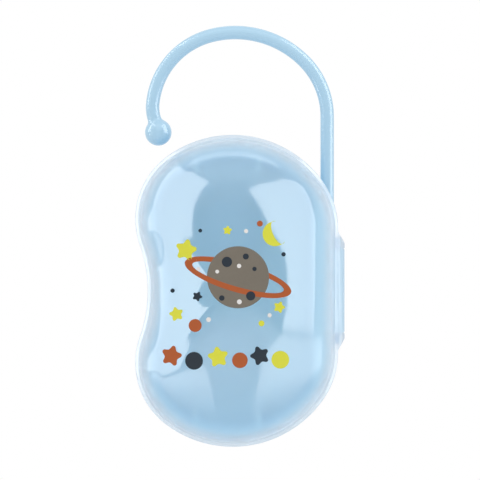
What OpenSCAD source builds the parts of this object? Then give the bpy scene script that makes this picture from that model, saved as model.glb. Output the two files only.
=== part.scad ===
// Bean-shaped case that carries two soothers and steams them clean.
// A clear domed lid is hinged at the right of a bowl-like back shell, a slotted
// tray stands in the bowl, and a hook swivels in a socket behind the hinge.
// Upright frame: +X right, +Z up, the lid faces -Y. The origin is the inner crown
// of the hook, where the case hangs. Inside the modules, x = z = 0 is the middle of
// the lid's outline and y = 0 is the plane of the lid's rear rim.

/* [Outline] */
// Half the width, from the middle to the straight right side
half_w = 38.5; // [38:0.1:39]
// Radius of the arcs that leave the straight side
corner_r = 30.4; // [30:0.1:31]
// Angle those arcs turn through
corner_a = 33.5; // [33:0.1:34]
// Radius of the top and bottom arcs
crown_r = 42; // [41.5:0.1:42.5]
// Angle the top and bottom arcs turn through
crown_a = 93.5; // [93:0.1:94]
// Radius of the full arcs on the left
cheek_r = 29.4; // [29:0.1:30]
// Angle the left arcs turn through
cheek_a = 72.6; // [72.2:0.1:73]
// Radius of the hollow waist on the left
waist_r = 52; // [48:1:56]

/* [Lid] */
// Height of the dome from its rear rim
lid_h = 26; // [25:0.5:28]
// Wall thickness of the dome
lid_wall = 1.4; // [1.2:0.1:1.6]
// Camber of the dome's face
lid_camber = 5; // [4:0.5:6]
// Width of the outer lip
lip_w = 1.2; // [0.8:0.1:1.4]

/* [Back shell] */
// Depth of the bowl behind the rim plane
base_h = 22; // [21:0.5:24]
// Wall thickness of the bowl
base_wall = 1.7; // [1.5:0.1:2]
// Inset of the bowl's rim from the lid's outline
rim_inset = 2.8; // [2.7:0.05:3]
// Height of the rim that stands inside the lid
tongue_h = 4; // [3:0.5:4]
// Height of the foot ring on the back
foot_h = 0.8; // [0.5:0.1:1.5]
// Radius of a steam vent
vent_r = 1.1; // [0.8:0.1:1.3]

/* [Hinge] */
// Radius of the knuckles
knuckle_r = 2.7; // [2.6:0.05:2.8]
// Radius of the pin
pin_r = 1.1; // [0.9:0.05:1.2]
// Running clearance round the pin
pin_gap = 0.05; // [0.03:0.01:0.1]
// Half the length of the middle knuckle
knuckle_half = 15.9; // [15:0.1:16.5]

/* [Hook] */
// Radius of the rod
rod_r = 2.6; // [2.4:0.05:2.65]
// Distance from the hook's inner crown down to the middle of the case
case_drop = 96.3; // [92:0.5:100]
// Radius of the first arc above the shank
hook_r1 = 30.2; // [30:0.1:30.5]
// Radius of the arc over the top
hook_r2 = 37.4; // [37:0.1:37.8]
// Radius of the arc down to the ball
hook_r3 = 29.8; // [29.5:0.1:30.1]
// Radius of the ball at the tip
ball_r = 5.1; // [4.6:0.1:5.4]
// Running clearance round the shank
shank_gap = 0.08; // [0.05:0.01:0.1]

/* [Tray] */
// Thickness of the tray's plate
tray_t = 1.6; // [1.4:0.1:2]
// Depth of the plate's face behind the rim plane
tray_y = 12.4; // [12:0.2:14]
// Radius of the cradle ring that centres one soother
cradle_r = 14.5; // [12:0.5:15]
// Width of a drain slot
slot_w = 1.8; // [1.4:0.1:2.2]

/* [Hidden] */
$fn = 64;
eps = 0.01;

shell_blue = [0.66, 0.82, 0.93];
clear_tint = [0.86, 0.92, 0.96, 0.35];

// Where the hinge axis and the hook's shank stand, seen from above
hinge_x = 38.4;
hinge_y = 3.0;
shank_x = 34.7;
shank_y = 8.6;

// ---- outline: tangent arcs from the right side over the top to the waist, then mirrored

// Left-hand normal of a heading
function left(h) = [-sin(h), cos(h)];

waist_a = corner_a + crown_a + cheek_a - 180;
// Each arc is [radius, angle]; a negative radius turns right
arcs = [[corner_r, corner_a], [crown_r, crown_a], [cheek_r, cheek_a], [-waist_r, waist_a]];
arc_step = 6.2;

function arc_end(p, h, arc) =
    p + arc[0] * (left(h) - left(h + sign(arc[0]) * arc[1]));

// Start point and heading of every arc, and of the end of the last one
function knots(list, p, h, i = 0) =
    i == len(list)
        ? [[p, h]]
        : concat([[p, h]],
            knots(list, arc_end(p, h, list[i]), h + sign(list[i][0]) * list[i][1], i + 1));

// Points every few degrees along the arcs, each with its heading
function along(list, starts, step) =
    [for (i = [0 : len(list) - 1])
        let (p = starts[i][0], h = starts[i][1], r = list[i][0], a = list[i][1],
             c = p + r * left(h), n = ceil(a / step))
        for (j = [0 : n - 1])
            let (g = h + sign(r) * a * j / n)
            [c - r * left(g), g]];

// The straight side is as long as it takes for the waist to end at z = 0
side_h = -knots(arcs, [half_w, 0], 90)[len(arcs)][0].y;
outline_knots = knots(arcs, [half_w, side_h], 90);
crown_c = outline_knots[1][0] + crown_r * left(outline_knots[1][1]);
waist_x = outline_knots[len(arcs)][0].x;

// Outline points, each with its outward normal
upper = concat([for (s = along(arcs, outline_knots, arc_step)) [s[0], -left(s[1])]],
    [[[waist_x, 0], [-1, 0]]]);
lower = [for (i = [len(upper) - 2 : -1 : 0])
    [[upper[i][0].x, -upper[i][0].y], [upper[i][1].x, -upper[i][1].y]]];
outline = concat([[[half_w, 0], [1, 0]]], upper, lower);

// Height of the outline above x, on its top arc
function outline_top(x) = crown_c.y + sqrt(crown_r * crown_r - pow(x - crown_c.x, 2));

// ---- lofts: rings stepped in from the outline, which shrink to the middle as they go

blend_from = 6;
blend_to = 30;
function smooth(t) = t * t * (3 - 2 * t);
function blend(d) = smooth(min(1, max(0, (d - blend_from) / (blend_to - blend_from))));
function inset_point(s, d) =
    (1 - blend(d)) * (s[0] - d * s[1]) + blend(d) * (1 - d / half_w) * s[0];
function inset(d, x_max = half_w) =
    [for (s = outline) let (p = inset_point(s, d)) [min(p.x, x_max), p.y]];
function ring(d, y, x_max = half_w) = [for (p = inset(d, x_max)) [p.x, y, p.y]];

// Point at t on a cubic curve
function curve(a, b, c, d, t) =
    pow(1 - t, 3) * a + 3 * t * pow(1 - t, 2) * b + 3 * t * t * (1 - t) * c + pow(t, 3) * d;
function curve_points(a, b, c, d, n) = [for (i = [1 : n]) curve(a, b, c, d, i / n)];

// Closed shell: outer rings from the rim to the face, inner rings back to the rim
module lofted_shell(outer, outer_tip, inner, inner_tip, forward) {
    n = len(outline);
    k = len(outer);
    m = k + len(inner);
    points = concat([for (r = outer) each r], [for (r = inner) each r], [outer_tip, inner_tip]);
    walls = [for (i = [0 : m - 1], j = [0 : n - 1]) if (i != k - 1)
        let (j2 = (j + 1) % n, i2 = (i + 1) % m)
        each [[i * n + j, i * n + j2, i2 * n + j2], [i * n + j, i2 * n + j2, i2 * n + j]]];
    caps = [for (j = [0 : n - 1])
        let (j2 = (j + 1) % n)
        each [[(k - 1) * n + j, (k - 1) * n + j2, m * n], [k * n + j2, k * n + j, m * n + 1]]];
    faces = concat(walls, caps);
    polyhedron(points, forward ? [for (f = faces) [f[0], f[2], f[1]]] : faces);
}

// Flat shape drawn in x and z, made solid from y0 to y1
module slab(y0, y1) {
    translate([0, y1, 0]) rotate([90, 0, 0]) linear_extrude(y1 - y0) children();
}

// Moves the case from the middle of its outline to its place under the hook
module hung() {
    translate([0, -shank_y, -case_drop]) children();
}

// ---- front lid

wall_top = -12;
face_start = 10.5;
face_steps = [14, 18.5, 23.5, 28.5, 33.5];
rebate_h = tongue_h + 0.3;
rebate_d = 2.3;

function face_y(d, h) = -(h - lid_camber * pow(1 - d / half_w, 2));

lid_outer = concat(
    [[0.15, 0], [0, -0.2], [0, -1.3], [0.2, -1.6], [lip_w, -1.75], [1.6, -rebate_h],
     [2.4, wall_top]],
    curve_points([2.4, wall_top], [3.2, -19], [5.8, face_y(face_start, lid_h) + 0.9],
        [face_start, face_y(face_start, lid_h)], 8),
    [for (d = face_steps) [d, face_y(d, lid_h)]]);

inner_h = lid_h - lid_wall;
inner_start = face_start + 0.4;
lid_inner = concat(
    [[rebate_d, 0], [2.5, -rebate_h], [3.2, -rebate_h - 0.05], [2.4 + lid_wall, wall_top]],
    curve_points([2.4 + lid_wall, wall_top], [4.6, -18.2],
        [6.8, face_y(inner_start, inner_h) + 0.85],
        [inner_start, face_y(inner_start, inner_h)], 7),
    [for (d = face_steps) [d, face_y(d, inner_h)]]);

function reversed(list) = [for (i = [len(list) - 1 : -1 : 0]) list[i]];

module lid_dome() {
    lofted_shell(
        [for (q = lid_outer) ring(q[0], q[1])], [0, -lid_h, 0],
        [for (q = reversed(lid_inner)) ring(q[0], q[1])], [0, -inner_h, 0],
        true);
}

ear_gap = 0.3;
ear_z = knuckle_half + ear_gap;
ear_top = 22.5;
ear_front = -1.6;
ear_back_x = hinge_x - 2.1;
ear_straight = 18.1;
socket_end = 20.3;
pin_half = 20;

// Section of a lid knuckle, which is drawn forward to the lid's lip
module ear_section() {
    translate([hinge_x, hinge_y]) circle(knuckle_r);
    translate([hinge_x, ear_front + knuckle_r]) circle(knuckle_r);
    translate([hinge_x - knuckle_r, ear_front + knuckle_r])
        square([2 * knuckle_r, hinge_y - ear_front - knuckle_r]);
}

// One lid knuckle, above the middle one; its outer end slopes back to the outline
module lid_ear() {
    intersection() {
        translate([0, 0, ear_z]) linear_extrude(ear_top - ear_z) intersection() {
            ear_section();
            translate([ear_back_x, ear_front]) square(2 * knuckle_r + hinge_y - ear_front);
        }
        slab(ear_front - eps, hinge_y + knuckle_r + eps)
            polygon([[ear_back_x - 1, ear_z - 1], [hinge_x + knuckle_r + eps, ear_z - 1],
                     [hinge_x + knuckle_r + eps, ear_straight], [half_w, ear_top],
                     [ear_back_x - 1, ear_top]]);
    }
}

strip_x = half_w - 1.5;
strip_back = -0.2;
strip_gap = 0.65;

// Cover strip between the two lid knuckles, in front of the middle one
module hinge_strip() {
    half = ear_z + 0.5;
    translate([0, 0, -half]) linear_extrude(2 * half) difference() {
        intersection() {
            ear_section();
            translate([strip_x, ear_front]) square([2 * knuckle_r, strip_back - ear_front]);
        }
        translate([hinge_x, hinge_y]) circle(knuckle_r + strip_gap);
    }
}

tab_half = 5.5;
tab_end = 4.6;
tab_t = 1.2;
tab_inset = 0.7;
bead_r = 0.6;

// Snap tab at the waist, which reaches back past the rim and carries a low bead
module latch_tab() {
    translate([waist_x + tab_inset, -1, -tab_half]) cube([tab_t, tab_end + 1, 2 * tab_half]);
    translate([waist_x + tab_inset + tab_t - bead_r + 0.2, tab_end - 0.7, -tab_half + 0.7])
        cylinder(r = bead_r, h = 2 * tab_half - 1.4);
}

module front_lid() {
    color(clear_tint) hung() difference() {
        union() {
            lid_dome();
            lid_ear();
            mirror([0, 0, 1]) lid_ear();
            hinge_strip();
            latch_tab();
        }
        for (side = [-1, 1])
            translate([hinge_x, hinge_y, side > 0 ? ear_z - 1 : -socket_end])
                cylinder(r = pin_r, h = socket_end - ear_z + 1);
    }
}

// ---- back shell

bowl_shoulder = 10;
floor_start = 13.5;
floor_steps = [18, 24, 31];
spine_x = 31.5;
ledge_y = 3.6;
ledge_rise = 0.4;
draft_d = rim_inset + 1;

// Each step is [inset, depth, greatest x]
base_outer = concat(
    [[rim_inset + 0.3, -tongue_h, half_w], [rim_inset, -tongue_h + 0.6, half_w],
     [rim_inset, ledge_y - ledge_rise, half_w], [rim_inset + 0.1, ledge_y, spine_x],
     [draft_d, bowl_shoulder, spine_x]],
    [for (q = curve_points([draft_d, bowl_shoulder], [4.8, 16.5], [8, base_h - 0.4],
        [floor_start, base_h], 7)) [q.x, q.y, spine_x]],
    [for (d = floor_steps) [d, base_h, spine_x]]);

bowl_h = base_h - base_wall;
spine_in = spine_x - base_wall;
base_inner = concat(
    [[rim_inset + 1.4, -tongue_h, half_w], [rim_inset + base_wall, -tongue_h + 0.8, half_w],
     [rim_inset + base_wall, ledge_y - ledge_rise - base_wall, half_w],
     [rim_inset + base_wall + 0.1, ledge_y - base_wall, spine_in],
     [draft_d + base_wall, bowl_shoulder, spine_in]],
    [for (q = curve_points([draft_d + base_wall, bowl_shoulder], [6.4, 15.2],
        [9.2, bowl_h - 0.4], [floor_start + 0.4, bowl_h], 6)) [q.x, q.y, spine_in]],
    [for (d = floor_steps) [d, bowl_h, spine_in]]);

module bowl() {
    lofted_shell(
        [for (q = base_outer) ring(q[0], q[1], q[2])], [0, base_h, 0],
        [for (q = reversed(base_inner)) ring(q[0], q[1], q[2])], [0, bowl_h, 0],
        false);
}

foot_out = 14.5;
foot_in = 17;

module foot_ring() {
    slab(base_h - 0.5, base_h + foot_h) difference() {
        polygon(inset(foot_out));
        polygon(inset(foot_in));
    }
}

rib_t = 1.2;
rib_xs = [-15.9, 8.5];
rib_z = 45.6;
rib_end = 11.8;
rib_bury = rim_inset + base_wall / 2;

// Upright ribs at both ends of the bowl keep a soother's shield from turning
module rib(x) {
    top = outline_top(x) - rib_bury;
    translate([x - rib_t / 2, 0, 0]) rotate([90, 0, 90]) linear_extrude(rib_t)
        polygon([[0, rib_z], [0, top], [2, top], [rib_end, top - 1.2], [rib_end, rib_z]]);
}

vent_y = 6;
mid_x = (rib_xs[0] + rib_xs[1]) / 2;
vent_pitch = 6.3;

module vents() {
    for (i = [-1 : 1], side = [0, 1])
        mirror([0, 0, side]) translate([mid_x + i * vent_pitch, vent_y, rib_z])
            cylinder(r = vent_r, h = 20);
}

boss_r = 4.2;
boss_top = 15.5;
boss_foot = -14;
ridge_z = -8;
ridge_h = 1.2;
ridge_r = 2.42;
shank_bore = rod_r + shank_gap;

// The middle knuckle, its leaf and the hook's socket, as one block on the flat spine
module hinge_block() {
    translate([hinge_x, hinge_y, -knuckle_half]) cylinder(r = knuckle_r, h = 2 * knuckle_half);
    translate([half_w - rim_inset - 1.1, 0.5, -knuckle_half])
        cube([hinge_x - half_w + rim_inset + 1.1, 3.4, 2 * knuckle_half]);
    translate([shank_x, shank_y, boss_foot]) cylinder(r = boss_r, h = boss_top - boss_foot);
    translate([0, 0, boss_foot]) linear_extrude(boss_top - boss_foot)
        polygon([[spine_x - 0.5, ledge_y - 0.2], [hinge_x, hinge_y],
                 [hinge_x + knuckle_r / 2, hinge_y + knuckle_r * sin(60) - 0.1],
                 [shank_x + boss_r - 0.2, shank_y - 0.4], [spine_x - 0.5, shank_y + 1.3]]);
}

module hinge_cuts() {
    translate([hinge_x, hinge_y, -knuckle_half - 1])
        cylinder(r = pin_r + pin_gap, h = 2 * knuckle_half + 2);
    translate([shank_x, shank_y, ridge_z + ridge_h / 2])
        cylinder(r = shank_bore, h = boss_top - ridge_z);
    translate([shank_x, shank_y, boss_foot - 1])
        cylinder(r = shank_bore, h = ridge_z - ridge_h / 2 - boss_foot + 1);
    translate([shank_x, shank_y, boss_foot]) cylinder(r = ridge_r, h = boss_top - boss_foot);
    for (side = [0, 1])
        mirror([0, 0, side]) translate([hinge_x, hinge_y, knuckle_half])
            cylinder(r = knuckle_r + 0.4, h = ear_top - knuckle_half + 0.4);
}

// Low bead on the rim of the bowl that the lid's tab snaps behind
module latch_bead() {
    translate([waist_x + rim_inset + bead_r / 2, 1.6, -tab_half])
        cylinder(r = bead_r, h = 2 * tab_half);
}

module back_shell() {
    color(shell_blue) hung() difference() {
        union() {
            bowl();
            foot_ring();
            for (x = rib_xs, side = [0, 1])
                mirror([0, 0, side]) rib(x);
            hinge_block();
            latch_bead();
        }
        hinge_cuts();
        vents();
    }
}

// ---- steam tray

tray_inset = 7.4;
tray_x_max = spine_in - 0.7;
tray_lip = 1.4;
tray_lip_h = 1.6;
lobe_z = 25.5;
cradle_w = 1.4;
cradle_h = 1.8;
slot_pitch = 4.4;
leg_r = 2;
leg_x = 9;
leg_z = 31;

module tray_outline(extra = 0) {
    polygon(inset(tray_inset + extra, tray_x_max - extra));
}

module drain_slots() {
    for (i = [-2 : 2]) {
        half = sqrt(pow(cradle_r - cradle_w - 1.6, 2) - pow(i * slot_pitch, 2)) - slot_w / 2;
        for (end = [-1, 1])
            translate([end * half, i * slot_pitch]) circle(slot_w / 2, $fn = 24);
        translate([-half, i * slot_pitch - slot_w / 2]) square([2 * half, slot_w]);
    }
}

module steam_tray() {
    color(shell_blue) hung() {
        difference() {
            union() {
                slab(tray_y, tray_y + tray_t) tray_outline();
                slab(tray_y - tray_lip_h, tray_y + eps) difference() {
                    tray_outline();
                    tray_outline(tray_lip);
                }
                for (side = [-1, 1])
                    slab(tray_y - cradle_h, tray_y + eps) translate([mid_x, side * lobe_z])
                        difference() {
                            circle(cradle_r);
                            circle(cradle_r - cradle_w);
                        }
            }
            for (side = [-1, 1])
                slab(tray_y - 1, tray_y + tray_t + 1)
                    translate([mid_x, side * lobe_z]) drain_slots();
        }
        for (x = [mid_x - leg_x, mid_x + leg_x], z = [-leg_z, leg_z])
            translate([x, bowl_h, z]) rotate([90, 0, 0])
                cylinder(r = leg_r, h = bowl_h - tray_y - tray_t + eps);
    }
}

// ---- hinge pin

module hinge_pin() {
    color(shell_blue) hung() translate([hinge_x, hinge_y, -pin_half])
        cylinder(r = pin_r, h = 2 * pin_half);
}

// ---- carry hook

tip_bend_r = 15;
hook_arcs = [[hook_r1, 45], [hook_r2, 60], [hook_r3, 69.6], [tip_bend_r, 21.7]];
hook_step = 5;
// The shank's top stands where the second arc peaks one rod radius above the crown
shank_top = case_drop + rod_r - hook_r1 * sin(45) - hook_r2 * (1 - sin(45));
hook_knots = knots(hook_arcs, [shank_x, shank_top], 90);
shank_end = -15.2;
tip_h = 1.2;
groove_h = ridge_h + 0.6;
groove_r = ridge_r - 0.12;
collar_r = rod_r + 0.3;
collar_z = boss_top + 0.3;
collar_h = 1.6;

// Hollow neck that swells into the ball, and the ball, as [radius, distance] along the rod
neck_r = 2.5;
neck_reach = sqrt(pow(ball_r + neck_r, 2) - pow(rod_r + neck_r, 2));
neck_a = atan(neck_reach / (rod_r + neck_r));
neck = [for (i = [0 : 5]) let (a = 180 - neck_a * i / 5)
    [rod_r + neck_r + neck_r * cos(a), neck_r * sin(a)]];
ball = [for (i = [1 : 15]) let (a = -neck_a + (90 + neck_a) * i / 16)
    [ball_r * cos(a), neck_reach + ball_r * sin(a)]];

// Stations of the bent rod: point, heading and radius
rod_end = hook_knots[len(hook_arcs)];
rod_dir = [cos(rod_end[1]), sin(rod_end[1])];
stations = concat(
    [[[shank_x, collar_z + collar_h / 2], 90, rod_r]],
    [for (s = along(hook_arcs, hook_knots, hook_step)) [s[0], s[1], rod_r]],
    [for (q = concat(neck, ball)) [rod_end[0] + q[1] * rod_dir, rod_end[1], q[0]]]);
rod_sides = 24;

module bent_rod() {
    n = rod_sides;
    m = len(stations);
    tip = rod_end[0] + (neck_reach + ball_r) * rod_dir;
    points = concat(
        [for (s = stations, j = [0 : n - 1])
            let (a = 360 * j / n, q = s[0] - s[2] * cos(a) * left(s[1]))
            [q.x, shank_y + s[2] * sin(a), q.y]],
        [[tip.x, shank_y, tip.y]]);
    sides = [for (i = [0 : m - 2], j = [0 : n - 1])
        let (j2 = (j + 1) % n)
        each [[i * n + j, (i + 1) * n + j2, i * n + j2],
              [i * n + j, (i + 1) * n + j, (i + 1) * n + j2]]];
    cap = [for (j = [0 : n - 1]) [(m - 1) * n + j, m * n, (m - 1) * n + (j + 1) % n]];
    polyhedron(points, concat([[for (j = [0 : n - 1]) j]], sides, cap));
}

// Lower end of the rod: a collar above the socket and a groove that its ridge holds
module shank() {
    groove_top = ridge_z + groove_h / 2;
    groove_foot = ridge_z - groove_h / 2;
    translate([shank_x, shank_y, 0]) rotate_extrude()
        polygon([[0, shank_end], [rod_r - 0.7, shank_end], [rod_r, shank_end + tip_h],
                 [rod_r, groove_foot], [groove_r, groove_foot], [groove_r, groove_top],
                 [rod_r, groove_top], [rod_r, collar_z], [collar_r, collar_z],
                 [collar_r, collar_z + collar_h], [0, collar_z + collar_h]]);
}

module carry_hook() {
    color(shell_blue) hung() {
        shank();
        bent_rod();
    }
}

back_shell();
steam_tray();
front_lid();
hinge_pin();
carry_hook();
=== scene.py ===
from math import ceil, cos, pi, radians, sin, sqrt

import bmesh
import bpy
import numpy as np
from mathutils import Matrix, Vector


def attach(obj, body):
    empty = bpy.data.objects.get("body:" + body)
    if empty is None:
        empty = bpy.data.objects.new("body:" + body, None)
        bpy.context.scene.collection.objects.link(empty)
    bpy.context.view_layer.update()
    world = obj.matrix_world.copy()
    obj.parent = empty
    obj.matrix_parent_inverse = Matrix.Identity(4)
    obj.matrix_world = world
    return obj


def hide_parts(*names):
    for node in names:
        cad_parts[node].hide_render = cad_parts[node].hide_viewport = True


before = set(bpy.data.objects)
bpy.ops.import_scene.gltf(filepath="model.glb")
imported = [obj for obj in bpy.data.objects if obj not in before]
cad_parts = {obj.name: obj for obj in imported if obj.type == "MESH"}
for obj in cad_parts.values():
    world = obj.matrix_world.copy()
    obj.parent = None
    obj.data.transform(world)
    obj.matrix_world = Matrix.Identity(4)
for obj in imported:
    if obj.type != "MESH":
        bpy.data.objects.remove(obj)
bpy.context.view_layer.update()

# ---- Back shell
# A bean-shaped bowl of light blue polypropylene, moulded in one shot with its foot ring, its
# ribs, its steam vents and the block behind the hinge, which is bored for the pin and the hook.

MM = 0.001
CASE_PLACE = (0, -8.6, -96.3)  # the middle of the lid's outline, in mm from the hook's crown
HALF_W = 38.5
# The outline's arcs as (radius, degrees), from the hinge side over the top and in to the waist.
OUTLINE_ARCS = [(30.4, 33.5), (42, 93.5), (29.4, 72.6), (-52, 19.6)]
SMOOTH_STEP = 0.9  # degrees from one point of the outline to the next
SHRINK_FROM, SHRINK_TO = 6, 30  # between these insets a ring turns into a smaller outline


def left(heading):
    """Left-hand normal of a heading in degrees."""
    return np.array([-sin(radians(heading)), cos(radians(heading))])


def along(arcs, start, heading, step):
    """Points every few degrees along tangent arcs, with their headings, and the end of the last."""
    point, found = np.array(start, float), []
    for radius, angle in arcs:
        turn = angle if radius > 0 else -angle
        centre = point + radius * left(heading)
        count = ceil(angle / step)
        for i in range(count):
            here = heading + turn * i / count
            found.append((centre - radius * left(here), here))
        heading += turn
        point = centre - radius * left(heading)
    return found, point, heading


def bean_outline():
    """The case's outline as two arrays: its points and their outward normals."""
    side = -along(OUTLINE_ARCS, (HALF_W, 0), 90, 90)[1][1]
    upper, end, _ = along(OUTLINE_ARCS, (HALF_W, side), 90, SMOOTH_STEP)
    rise = [(np.array((HALF_W, z)), 90) for z in np.linspace(0, side, 14)[:-1]]
    upper = rise + upper + [(end, 270)]
    points = np.array([p for p, _ in upper])
    normals = np.array([-left(h) for _, h in upper])
    flip = np.array([1, -1])
    return (
        np.concatenate([points, (points * flip)[-2:0:-1]]),
        np.concatenate([normals, (normals * flip)[-2:0:-1]]),
    )


OUTLINE, OUTWARD = bean_outline()


def inset(depth, x_max=HALF_W):
    """The outline moved inwards, which shrinks to the middle as it goes."""
    t = min(1, max(0, (depth - SHRINK_FROM) / (SHRINK_TO - SHRINK_FROM)))
    blend = t * t * (3 - 2 * t)
    points = (1 - blend) * (OUTLINE - depth * OUTWARD) + blend * (1 - depth / HALF_W) * OUTLINE
    points[:, 0] = np.minimum(points[:, 0], x_max)
    return points


def curve(a, b, c, d, count):
    """Points on a cubic curve, without its start."""
    a, b, c, d = (np.array(p, float) for p in (a, b, c, d))
    ts = np.arange(1, count + 1)[:, None] / count
    return (
        (1 - ts) ** 3 * a + 3 * ts * (1 - ts) ** 2 * b + 3 * ts**2 * (1 - ts) * c + ts**3 * d
    ).tolist()


def stand(name, data):
    """An object of the scene, made of a mesh, a lamp or a camera."""
    thing = bpy.data.objects.new(name, data)
    bpy.context.scene.collection.objects.link(thing)
    return thing


def mesh_object(name, points, faces):
    """A mesh from points in mm round the case's middle, set in its place in metres."""
    mesh = bpy.data.meshes.new(name)
    place = (np.array(points, float) + CASE_PLACE) * MM
    mesh.from_pydata(place.tolist(), [], faces)
    form = bmesh.new()
    form.from_mesh(mesh)
    bmesh.ops.recalc_face_normals(form, faces=form.faces)
    form.to_mesh(mesh)
    form.free()
    return stand(name, mesh)


def loft(name, rings, gap=None, tips=()):
    """Rings of (inset, y, greatest x), joined in a loop that two tips break after the ring gap."""
    count, points, faces = len(OUTLINE), [], []
    for ring in rings:
        points += [(x, ring[1], z) for x, z in inset(ring[0], *ring[2:])]
    points += [(0, y, 0) for y in tips]
    for i in range(len(rings)):
        this, after = i * count, (i + 1) % len(rings) * count
        for j in range(count):
            k = (j + 1) % count
            if i != gap:
                faces.append((this + j, this + k, after + k, after + j))
            else:
                faces.append((this + j, this + k, len(points) - 2))
                faces.append((after + k, after + j, len(points) - 1))
    return mesh_object(name, points, faces)


def stack(name, sections):
    """Sections of like point counts, one above the other, closed at both ends."""
    count = len(sections[0])
    points = [p for section in sections for p in section]
    faces = [tuple(range(count)), tuple(range(len(points) - count, len(points)))]
    for i in range(0, len(points) - count, count):
        for j in range(count):
            k = (j + 1) % count
            faces.append((i + j, i + k, i + count + k, i + count + j))
    return mesh_object(name, points, faces)


def turned(name, centre, profile, sides=72):
    """A profile of (radius, z) turned about an upright axis at centre."""
    turns = [2 * pi * i / sides for i in range(sides)]
    x, y = centre
    return stack(name, [[(x + r * cos(a), y + r * sin(a), z) for a in turns] for r, z in profile])


def prism(name, outline, low, high):
    """A flat outline in x and y, made solid from low to high."""
    return stack(name, [[(x, y, z) for x, y in outline] for z in (low, high)])


def flatten(thing):
    """Applies every modifier, so that a piece is one plain mesh."""
    bpy.context.view_layer.update()
    seen = thing.evaluated_get(bpy.context.evaluated_depsgraph_get())
    thing.data = bpy.data.meshes.new_from_object(seen)
    thing.modifiers.clear()
    return thing


def soften(thing, width, segments=2, least_angle=40):
    """Rounds a solid's edges, as a mould leaves them."""
    edge = thing.modifiers.new("edges", "BEVEL")
    edge.width, edge.segments = width * MM, segments
    edge.limit_method, edge.angle_limit = "ANGLE", radians(least_angle)
    return flatten(thing)


def carve(thing, add=(), cut=()):
    """Adds solids to a piece and cuts others out of it, then leaves one plain mesh."""
    for tools, operation in ((add, "UNION"), (cut, "DIFFERENCE")):
        for tool in tools:
            step = thing.modifiers.new(tool.name, "BOOLEAN")
            step.operation, step.object, step.solver = operation, tool, "EXACT"
    flatten(thing)
    for tool in (*add, *cut):
        bpy.data.objects.remove(tool)


def coat(thing, material):
    """Gives a piece one finish in place of what it had."""
    thing.data.materials.clear()
    thing.data.materials.append(material)


def shade(thing, material, sharp=32):
    """Smooth shading with an edge kept where faces meet at more than an angle, and a finish."""
    thing.data.polygons.foreach_set("use_smooth", [True] * len(thing.data.polygons))
    thing.data.set_sharp_from_angle(angle=radians(sharp))
    coat(thing, material)


class Wire:
    """A socket of a node tree that sums are written with in plain Python."""

    def __init__(self, tree, socket=None):
        self.tree, self.socket = tree, socket

    def node(self, kind, settings=(), sockets=(), out=0):
        """Adds a node: its settings first, then the values or links of its sockets."""
        made = self.tree.nodes.new(kind)
        for name, value in dict(settings).items():
            setattr(made, name, value)
        for name, value in dict(sockets).items():
            if isinstance(value, Wire):
                self.tree.links.new(value.socket, made.inputs[name])
            else:
                made.inputs[name].default_value = value
        return Wire(self.tree, made.outputs[out]) if made.outputs else made

    def other(self, output):
        """Another output of the node that this wire comes from."""
        return Wire(self.tree, self.socket.node.outputs[output])

    def maths(self, operation, *values):
        """A Math node on plain numbers and wires."""
        return self.node("ShaderNodeMath", {"operation": operation}, dict(enumerate(values)))

    def __add__(self, other):
        return self.maths("ADD", self, other)

    def __sub__(self, other):
        return self.maths("SUBTRACT", self, other)

    def __rsub__(self, other):
        return self.maths("SUBTRACT", other, self)

    def __mul__(self, other):
        return self.maths("MULTIPLY", self, other)

    def __pow__(self, other):
        return self.maths("POWER", self, other)

    __radd__, __rmul__ = __add__, __mul__


def finish(name):
    """A new material with an empty node tree, and the wire that its nodes grow from."""
    material = bpy.data.materials.new(name)
    material.use_nodes = True
    material.node_tree.nodes.clear()
    return material, Wire(material.node_tree)


def srgb(red, green, blue):
    """A colour as the eye names it, from 0 to 255, turned to light."""
    parts = [c / 255 for c in (red, green, blue)]
    return (*[c / 12.92 if c <= 0.04045 else ((c + 0.055) / 1.055) ** 2.4 for c in parts], 1)


# the colour of the painted glow that lifts the shade in the blue plastic
PAINTED_GLOW_BLUE = srgb(160, 194, 209)
FLOW_SCALE, PEEL_SCALE, SPECK_SCALE = 38, 720, 2600  # waves to the metre
PEEL_STRENGTH, PEEL_DEPTH = 0.12, 0.00002
GLOSS_SPREAD, PLASTIC_IOR = 0.1, 1.4


def moulded_plastic(name, deep, pale, gloss=0.3, painted_glow=0):
    """Coloured polypropylene: faint flow marks, a fine orange peel and a soft gloss.

    The last argument sets a painted glow: an even blue emission that lifts the shade, and stands in
    for light let through the thin wall.
    """
    material, wire = finish(name)
    place = wire.node("ShaderNodeTexCoord", out="Object")
    flow, peel, specks = (
        wire.node("ShaderNodeTexNoise", sockets={"Vector": place, "Scale": scale, "Detail": detail})
        for scale, detail in ((FLOW_SCALE, 3), (PEEL_SCALE, 2), (SPECK_SCALE, 1))
    )
    colour = wire.node(
        "ShaderNodeMix",
        {"data_type": "RGBA"},
        {"Factor": 0.8 * flow + 0.2 * specks, 6: deep, 7: pale},
        out=2,
    )
    bump = wire.node(
        "ShaderNodeBump",
        sockets={
            "Strength": PEEL_STRENGTH,
            "Distance": PEEL_DEPTH,
            "Height": 0.7 * peel + 0.3 * specks,
        },
    )
    surface = wire.node(
        "ShaderNodeBsdfPrincipled",
        sockets={
            "Base Color": colour,
            "Roughness": gloss - GLOSS_SPREAD / 2 + GLOSS_SPREAD * peel,
            "IOR": PLASTIC_IOR,
            # painted glow: a blue emission that lifts the shade, though no lamp is there
            "Emission Color": PAINTED_GLOW_BLUE,
            "Emission Strength": painted_glow,
            "Normal": bump,
        },
    )
    wire.node("ShaderNodeOutputMaterial", sockets={"Surface": surface})
    return material


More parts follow.
